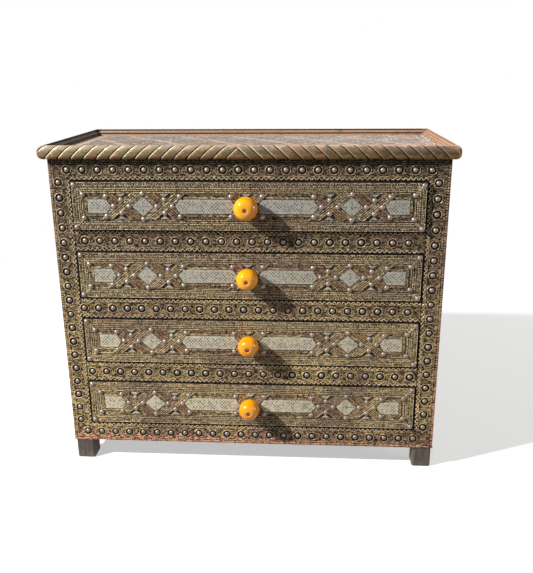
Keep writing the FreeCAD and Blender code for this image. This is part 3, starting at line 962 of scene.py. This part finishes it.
def bone_plate(bm, outline):
    """A bone plate with softened edges, which keeps its distance from its middle for its pattern.

    The ring that the softening adds keeps none, so the lines crowd to a dark edge there.
    """
    known = set(bm.verts)
    face = plate(bm, outline, BONE_HEIGHT - BONE_SOFTENING)
    part = set(bm.verts) - known
    nest(bm, face, [(BONE_SOFTENING, BONE_SOFTENING, 1.0)])
    low, high = corners_of(outline)
    middle = (low + high) / 2
    narrowest, widest = DIAMOND_WIDTHS
    mark(bm, part, lambda place: place.x - middle.x, "run")
    mark(bm, part, lambda place: place.y - middle.y, "rise")
    if len(outline) == 4 and narrowest < high.x - low.x < widest:
        mark(bm, part, 1.0, "fan")


def drawer_sheet(low, high, outlines):
    """A drawer's front sheet: pressed borders, a line in each corner and rims round the bone."""
    bm = relief_mesh()
    corners = rectangle(low.x, high.x, low.z, high.z)
    nest(bm, plate(bm, corners, FOLD_DEPTH, -FRONT_SINK), FRONT_BORDER)
    edge_rows(bm, corners, FRONT_ROWS)
    for x, y in corners:
        inward = Vector((-1 if x > 0 else 1, -1 if y == high.z else 1))
        line(bm, *[Vector((x, y)) + inward * along for along in CORNER_LINE], 1.4, 0.6)
    for outline in outlines:
        first, last = corners_of(outline)
        if last.x - first.x > SMALL_BONE:
            nest(bm, plate(bm, widened(outline, BONE_RIM_REACH), SHEET, 0.3), BONE_RIM)
        else:
            plate(bm, widened(outline, BONE_SEAT_REACH), SHEET, 0.1)
    return bm


def drawer_face(name):
    low, high = box_of(name + "_front_sheet")
    plane = -low.y
    outlines = [convex_outline(points) for points in solids_of(name + "_bone_inlays")]
    outlines.sort(key=lambda outline: [round(value, 1) for value in min(outline, key=tuple)])
    put(drawer_sheet(low, high, outlines), name + "_front_sheet", FRONT, plane)

    field_half = (high.z - low.z) / 2 - FIELD_INSET
    put(crossing_bands((low.z + high.z) / 2, field_half, high.x), name + "_bands", FRONT, plane)

    bones = relief_mesh()
    for layer in ("run", "rise", "fan"):
        bones.verts.layers.float.new(layer)
    for outline in outlines:
        bone_plate(bones, outline)
    put(bones, name + "_bone_inlays", FRONT, plane + BONE_HEIGHT - BONE_SOFTENING)

    heads = relief_mesh()
    stud_heads(heads, NAIL, [(place.x, place.z) for place in middles_of(name + "_nails")], 0.6)
    put(heads, name + "_nails", FRONT, plane, sharp=50)


def knob(name):
    """A resin bead, turned about Z and pointing out of the sheet, with a rounded hole."""
    low, high = box_of(name + "_knob")
    length = high.y - low.y
    radius = (high.x - low.x) / 2
    shank, hole, mouth, seat = 2.3, 3.35, 4.2, 7.0
    profile = [(shank, length - 5, 0.0), (hole, length - 5, 0.0), (hole + 0.05, length - 0.9, 0.1),
               (hole + 0.25, length - 0.25, 0.4), (mouth, length, 0.9)]
    steps = 26
    for i in range(1, steps):
        angle = math.pi * (0.5 - i / steps)
        share = abs(math.cos(angle)) ** 0.94
        flat = mouth + (seat - mouth) * i / steps
        profile.append((flat + (radius - flat) * share, length / 2 + length / 2 * math.sin(angle), 1.0))
    profile += [(seat, 0, 1.0), (shank, 0, 1.0)]
    bm = bmesh.new()
    bm.from_mesh(spun(profile, 48))
    bmesh.ops.recalc_face_normals(bm, faces=bm.faces)
    place = Matrix.Translation((0, 0, (low.z + high.z) / 2)) @ FRONT
    put(bm, name + "_knob", place, -high.y, sharp=60)


# Top

# The grooves of the front slant away from this place on both sides
CHEVRON_X = -14.0
GROOVE_PITCH = 22.0
GROOVE_SLOPE = 1.12
GROOVE_DEPTH = 0.55
# Across one pitch: its share, the depth as a share of the groove's, and the relief. The relief is highest
# beside one side of each groove and falls across the lobe to the next: partly worn ridges, partly a painted
# highlight on the side of each lobe that faces the light.
GROOVE_SHARES = [(0.0, 1.0, -0.6), (0.035, 1.0, -0.6), (0.05, 0.1, 1.0), (0.1, 0.0, 1.0), (0.16, 0.0, 0.6),
                 (0.5, 0.0, 0.42), (0.86, 0.05, 0.36), (0.925, 0.15, 0.2), (0.945, 1.0, -0.6)]
MIRRORED_SHARES = GROOVE_SHARES[:1] + [(1 - share, depth, relief)
                                       for share, depth, relief in reversed(GROOVE_SHARES[1:])]
# A nose is seen from above, so the grooves slant with this much of its rise and of its way in
SEEN_RISE = 0.95
SEEN_REACH = 0.31
# From the lip inwards, down two steps to the top sheet: width, rise and relief
RIM_STEPS = [(0.8, 0.0, -0.3), (0.4, -0.1, -0.3), (0.5, -0.05, -0.3), (0.0, -1.9, -0.3), (0.0, -0.4, 0.5),
             (0.0, -3.55, 0.5), (0.7, 0.0, -0.2), (4.8, 0.0, 0.4), (0.4, 0.0, 0.5), (0.6, -0.15, 0.5),
             (0.0, -0.3, -0.3), (0.0, -1.9, -0.3), (0.0, -0.4, 0.45), (0.0, -3.25, 0.45)]


def nose_path():
    """Points (inwards, upwards) round a moulding's nose, from its underside to its lip."""
    turns = [math.pi / 2 * i / 7 for i in range(8)]
    path = [(NOSE_RADIUS + 3.2, 0.02), (NOSE_RADIUS + 1.0, 0.0)]
    for turn in turns:
        path.append((NOSE_RADIUS - NOSE_RADIUS * math.sin(turn), NOSE_RADIUS - NOSE_RADIUS * math.cos(turn)))
    for share in (1 / 3, 2 / 3):
        path.append((0, NOSE_RADIUS + (RIM_HEIGHT - 2 * NOSE_RADIUS) * share))
    for turn in turns:
        path.append((NOSE_RADIUS - NOSE_RADIUS * math.cos(turn),
                     RIM_HEIGHT - NOSE_RADIUS + NOSE_RADIUS * math.sin(turn)))
    return path


def grooved_run(length, at, shares=GROOVE_SHARES):
    """Slanted grooves round a nose, on both sides of a moulding's middle or from one end.

    at turns (along, inwards, upwards) into a place in space. The grooves rise as along falls.
    """
    path = nose_path()
    shape = relief_mesh()
    columns = (math.ceil((length + RIM_HEIGHT) / GROOVE_PITCH) + 1) * len(shares)
    rows = len(path) - 1
    bmesh.ops.create_grid(shape, x_segments=columns, y_segments=rows, size=0.5)
    for vert in shape.verts:
        groove, column = divmod(round((vert.co.x + 0.5) * columns), len(shares))
        index = round((vert.co.y + 0.5) * rows)
        share, depth, relief = shares[column]
        inwards, upwards = path[index]
        way = (Vector(path[min(index + 1, rows)]) - Vector(path[max(index - 1, 0)])).normalized()
        x = (groove + share) * GROOVE_PITCH - GROOVE_SLOPE * (SEEN_RISE * upwards + SEEN_REACH * inwards)
        ends = min(1.0, max(0.0, (length - x) / 5))
        fade = ends * min(1.0, index / 2, (rows - index) / 2)
        dent = depth * GROOVE_DEPTH * fade
        mark(shape, [vert], relief * fade + 0.45 * (1 - fade))
        mark(shape, [vert], upwards / RIM_HEIGHT, "tint")
        vert.co = (x, inwards + way.y * dent, upwards - way.x * dent)
    slice_at(shape, (0, 0, 0), (-1, 0, 0))
    slice_at(shape, (length, 0, 0), (1, 0, 0))
    for vert in shape.verts:
        vert.co = at(*vert.co)
    return shape


def join_run(target, shape, point, way, out):
    """Cuts a run at its mitre, turns its faces out and adds it to the rest."""
    slice_at(shape, point, way)
    shape.normal_update()
    face_out(shape, Vector(out))
    target.from_mesh(frozen(shape, "run"))


def rim_of_the_top():
    """The moulding's cladding: grooved noses on three sides, steps inside them, a plain back."""
    half, front, back = RIM_HIGH.x, RIM_LOW.y, RIM_HIGH.y
    bm = relief_mesh()
    for side in (-1, 1):
        corner = (side * half, front, 0)
        run = grooved_run(half - side * CHEVRON_X,
                          lambda x, u, w, s=side: Vector((CHEVRON_X + s * x, front + u, RIM_LOW.z + w)),
                          GROOVE_SHARES if side > 0 else MIRRORED_SHARES)
        join_run(bm, run, corner, (side, 1, 0), (0, -1, 0))
        run = grooved_run(back - front,
                          lambda x, u, w, s=side: Vector((s * (half - u), back - x, RIM_LOW.z + w)))
        join_run(bm, run, corner, (-side, -1, 0), (side, 0, 0))

    def flat_face(points):
        return bm.faces.new([bm.verts.new(point) for point in points])

    inner = half - NOSE_RADIUS
    lip_front, lip_back = front + NOSE_RADIUS, back - NOSE_RADIUS
    face = flat_face([(x, y, RIM_HIGH.z) for x, y in rectangle(-inner, inner, lip_front, lip_back)])
    face.normal_update()
    nest(bm, face, RIM_STEPS)
    bmesh.ops.delete(bm, geom=[face], context="FACES_ONLY")
    back_lip = flat_face([(x, y, RIM_HIGH.z) for x, y in rectangle(-inner, inner, lip_back, back - 0.5)])
    outline = [Vector((half - u, back, RIM_LOW.z + w)) for u, w in nose_path()[1:]]
    wall = flat_face(outline + [Vector((-point.x, point.y, point.z)) for point in reversed(outline)])
    for face in (back_lip, wall):
        mark(bm, face.verts, 0.4)
    mark(bm, [vert for vert in bm.verts if abs(vert.co.x) < inner + 0.1 and vert.co.y > lip_front - 0.1
              and vert.co.z > RIM_LOW.z + 5], 1.0, "tint")
    mark(bm, wall.verts, lambda place: (place.z - RIM_LOW.z) / RIM_HEIGHT, "tint")
    wall.normal_update()
    if wall.normal.y < 0:
        bmesh.ops.reverse_faces(bm, faces=[wall])
    put(bm, "moulding_cladding", TOP, sharp=32)


def rosette(bm, x, y, radius, tint):
    """Petals round a boss, inside a ring."""
    petals = 8
    for i in range(petals):
        turn = math.tau * i / petals
        stamp(bm, LOZENGE, [spot(x + math.cos(turn) * radius * 0.68, y + math.sin(turn) * radius * 0.68,
                                 turn, (radius * 0.36, radius * 0.17, 0.6))], tint)
    stamp(bm, LOZENGE, [spot(x, y, 0.4, (radius * 0.22, radius * 0.22, 0.7))], tint)
    ring = [(1.12, 0, 0.0), (1.2, 0.45, 0.65), (1.28, 0.45, 0.65), (1.36, 0, 0.0)]
    stamp(bm, spun([(radius * share, height, relief) for share, height, relief in ring], 20),
          [spot(x, y)], tint)


def lattice(bm, area, cell, tint=0.0):
    """A net of lozenges in double lines, each round a rosette."""
    x_low, x_high, y_low, y_high = area
    across = max(1, round((x_high - x_low) / cell[0]))
    up = max(1, round((y_high - y_low) / cell[1]))
    wide = (x_high - x_low) / across
    tall = (y_high - y_low) / up
    for i in range(across):
        for j in range(up):
            middle = Vector((x_low + (i + 0.5) * wide, y_low + (j + 0.5) * tall))
            corners = [Vector((wide / 2, 0)), Vector((0, tall / 2)), Vector((-wide / 2, 0)),
                       Vector((0, -tall / 2))]
            for start, end in around(corners):
                line(bm, middle + start, middle + end, 1.3, 0.5)
            for start, end in around([corner * 0.8 for corner in corners]):
                line(bm, middle + start, middle + end, 0.8, 0.35)
                dots = row(middle + start * 0.88, middle + end * 0.88, 3.4, size=(1.0, 1.0, 0.4))
                stamp(bm, LOZENGE, dots)
            rosette(bm, *middle, min(wide, tall) * 0.17, tint)
    for i in range(across + 1):
        for j in range(up + 1):
            stamp(bm, LOZENGE, [spot(x_low + i * wide, y_low + j * tall, 0, (3.2, 3.2, 0.7))])


def arch(bm, x, y, width, height, turn):
    """A pointed arch inlaid in grey metal: two curved arms that meet at a tip."""
    reach = width / 2
    radius = (reach ** 2 + height ** 2) / (2 * reach)
    sweep = math.asin(min(1, height / radius))
    inside = reach - 2.6
    for side in (1, -1):
        arm = relief_mesh()
        verts = [arm.verts.new(point) for point in
                 ((reach, 0, 0), (reach, 0, 0.5), (inside, 0, 0.5), (inside, 0, 0))]
        edges = [arm.edges.new(pair) for pair in zip(verts, verts[1:])]
        bmesh.ops.spin(arm, geom=verts + edges, cent=(reach - radius, 0, 0), axis=(0, 0, 1),
                       dvec=(0, 0, 0), angle=sweep, steps=8)
        mark(arm, arm.verts, 0.6)
        arm.transform(Matrix.Diagonal((side, 1, 1, 1)))
        stamp(bm, as_stamp(arm), [spot(x, y, turn)], 1.0)


# Width, rise and relief of the lines round the top, from its edge inwards
TOP_BORDER = [(1.5, 0.0, 0.3), (0.5, -0.3, 0.0), (0.5, 0.3, 0.6), (9.5, 0.0, 0.35), (0.5, 0.35, 0.65),
              (1.0, 0.0, 0.6), (0.5, -0.35, 0.1), (4.0, 0.0, 0.3), (0.5, 0.35, 0.65), (1.0, 0.0, 0.6),
              (0.5, -0.35, 0.25)]
TOP_FIELD_INSET = 22.0
TOP_CELL = (104, 121)
# A triangle stamp is 1.732 wide and 1.5 high before it is stretched
TOP_ROWS = [(TRIANGLE, 6.0, 8.5, (7.4 / 1.732, 6.4 / 1.5, 0.7)), (LOZENGE, 16.6, 3.6, (0.8, 2.2, 0.4), -35)]


def embossed_top():
    """The top sheet: a border of triangles, and arches at the sides of a lattice."""
    low, high = box_of("top_sheet")
    bm = relief_mesh()
    corners = rectangle(low.x, high.x, low.y, high.y)
    nest(bm, plate(bm, corners, high.z - low.z), TOP_BORDER)
    edge_rows(bm, corners, TOP_ROWS)
    left, right = low.x + TOP_FIELD_INSET, high.x - TOP_FIELD_INSET
    near, far = low.y + TOP_FIELD_INSET, high.y - TOP_FIELD_INSET
    lattice(bm, (left, right, near, far), TOP_CELL, 1.0)
    middle = (low.y + high.y) / 2
    across = 6
    wide = (right - left) / across
    for i in range(1, across):
        for side in (-1, 1):
            turn = 0 if side < 0 else math.pi
            arch(bm, left + i * wide, middle + side * (far - middle) - side * 4, wide * 0.36, 30, turn)
            arch(bm, left + i * wide, middle - side * 4, wide * 0.36, 26, turn + math.pi)
    put(bm, "top_sheet", TOP, high.z)


# Sides

# Width, rise and relief of the lines round a side, from its edge inwards
SIDE_BORDER = [(0.6, 0.0, 0.85), (0.5, -0.3, 0.1), (0.5, 0.3, 0.4), (28.5, 0.0, 0.4), (0.6, -0.4, 0.0),
               (0.5, 0.45, 0.9), (1.2, 0.0, 0.85), (0.5, -0.45, 0.1), (4.5, 0.0, 0.2), (0.5, 0.4, 0.9),
               (1.0, 0.0, 0.8), (0.5, -0.4, 0.25)]
SIDE_FIELD_INSET = 40.0
SIDE_CELL = (76, 92)
SIDE_ROWS = [(ZIGZAG, 4.4, 8.4), (ZIGZAG, 26.5, 8.4), (LOZENGE, 36.0, 3.2, (0.8, 2.2, 0.45), -35)]


def embossed_side(name, place, sign):
    """A side sheet drawn as it is seen from outside. sign is 1 where its X runs to the back."""
    low, high = box_of(name)
    left, right = sorted((sign * low.y, sign * high.y))
    bm = relief_mesh()
    corners = rectangle(left, right, low.z, high.z)
    nest(bm, plate(bm, corners, SHEET), SIDE_BORDER)
    studs = [(sign * m.y, m.z) for m in middles_of("side_studs") if m.x * sign > 0]
    for x, y in studs:
        stamp(bm, CUP, [spot(x, y, dice.uniform(0, 1))])
    edge_rows(bm, corners, SIDE_ROWS)
    inset = SIDE_FIELD_INSET
    lattice(bm, (left + inset, right - inset, low.z + inset, high.z - inset), SIDE_CELL)
    put(bm, name, place, BODY_HALF)
    return studs


def sides():
    """Both side sheets, and the stud heads of both in one piece, as in the solids."""
    placed = []
    for name, place, sign in (("right_side_sheet", RIGHT, 1), ("left_side_sheet", LEFT, -1)):
        placed.append((place, embossed_side(name, place, sign)))
    both = relief_mesh()
    for place, studs in placed:
        heads = relief_mesh()
        stud_heads(heads, STUD, studs, 1.0)
        heads.transform(place @ Matrix.Translation((0, 0, BODY_HALF)))
        both.from_mesh(frozen(heads, "heads"))
    put(both, "side_studs", TOP, sharp=50)


# Everything is put together from here on

UPRIGHT = ("left_side_board", "right_side_board", "left_stile", "right_stile")
DEEP = ("left_top_moulding", "right_top_moulding", "drawer_runners")

for node_name, node in frame["nodes"].items():
    finish = finish_of[slot_of[node_name]]
    if node_name in UPRIGHT:
        finish = upright_boards
    elif node_name in DEEP or node_name.endswith("box_boards"):
        finish = deep_boards
    node.data.materials.clear()
    node.data.materials.append(finish)

front_frame()
sides()
rim_of_the_top()
embossed_top()
for drawer_number in range(1, 5):
    drawer_face("drawer_%d" % drawer_number)
    knob("drawer_%d" % drawer_number)


# Camera, light and floor


def photo_camera():
    """The photograph's viewpoint: place in metres, turns in degrees, lens in millimetres."""
    place = (0.1102, -1.3023, 0.7253)
    left, down, roll = 3.81, 17.59, -0.48
    data = bpy.data.cameras.new("camera")
    data.lens = 43.79
    data.sensor_width = 36
    data.sensor_fit = "AUTO"
    data.clip_start = 0.05
    camera = shown("camera", data)
    way = Matrix.Translation(place)
    for turn, axis in ((left, "Z"), (90 - down, "X"), (roll, "Z")):
        way = way @ Matrix.Rotation(math.radians(turn), 4, axis)
    camera.matrix_world = way
    bpy.context.scene.camera = camera


def area_light(name, place, size, power):
    """A round light that points at the middle of the chest."""
    data = bpy.data.lights.new(name, "AREA")
    data.shape = "DISK"
    data.size = size
    data.energy = power
    light = shown(name, data)
    light.location = place
    light.rotation_euler = (Vector((0, 0, 0.3)) - Vector(place)).to_track_quat("-Z", "Y").to_euler()


def seen_straight(tree):
    """1 for what the camera sees, in a reflection or through glass too, and 0 for bounced light."""
    path = add(tree, "LightPath", {}).outputs
    straight, glass, glossy = [Signal(path["Is %s Ray" % kind])
                               for kind in ("Camera", "Transmission", "Glossy")]
    return larger(larger(straight, glass), glossy)


def surround():
    """White where it is seen, and faint as a light."""
    world = bpy.data.worlds.new("surround")
    bpy.context.scene.world = world
    world.use_nodes = True
    tree = world.node_tree
    level = derived("MapRange", {"Value": seen_straight(tree), "To Min": 0.09, "To Max": 1.0})
    background = tree.nodes["Background"]
    background.inputs["Color"].default_value = (1, 1, 1, 1)
    tree.links.new(level.socket, background.inputs["Strength"])


def pale_floor():
    """A floor that takes a pale shadow near the chest and fades to white, and bounces little."""
    bm = bmesh.new()
    bmesh.ops.create_grid(bm, x_segments=2, y_segments=2, size=12)
    mesh = frozen(bm, "floor")
    floor = shown("floor", mesh)
    material, tree = new_material("pale_floor", Roughness=0.95, Specular_IOR_Level=0.0,
                                  Emission_Strength=1.0)
    seen = seen_straight(tree)
    distance = derived("VectorMath", {0: object_place(tree)}, "Value", operation="LENGTH")
    far = ramp(distance, 0.9, 1.7)
    paint = mixed(seen, (0.2, 0.2, 0.19, 1), mixed(far, (0.5, 0.5, 0.49, 1), (0, 0, 0, 1)))
    shine = mixed(seen, (0, 0, 0, 1), mixed(far, (0.5, 0.5, 0.5, 1), (1, 1, 1, 1)))
    mesh.materials.append(feed(material, {"Base Color": paint, "Emission Color": shine}))


photo_camera()
area_light("key", (-2.12, -1.25, 2.11), 0.12, 202)
area_light("right", (2.8, -0.3, 1.0), 1.0, 26)
area_light("back", (0.6, 2.6, 2.4), 1.0, 40)
surround()
pale_floor()
bpy.context.scene.view_settings.view_transform = "Standard"
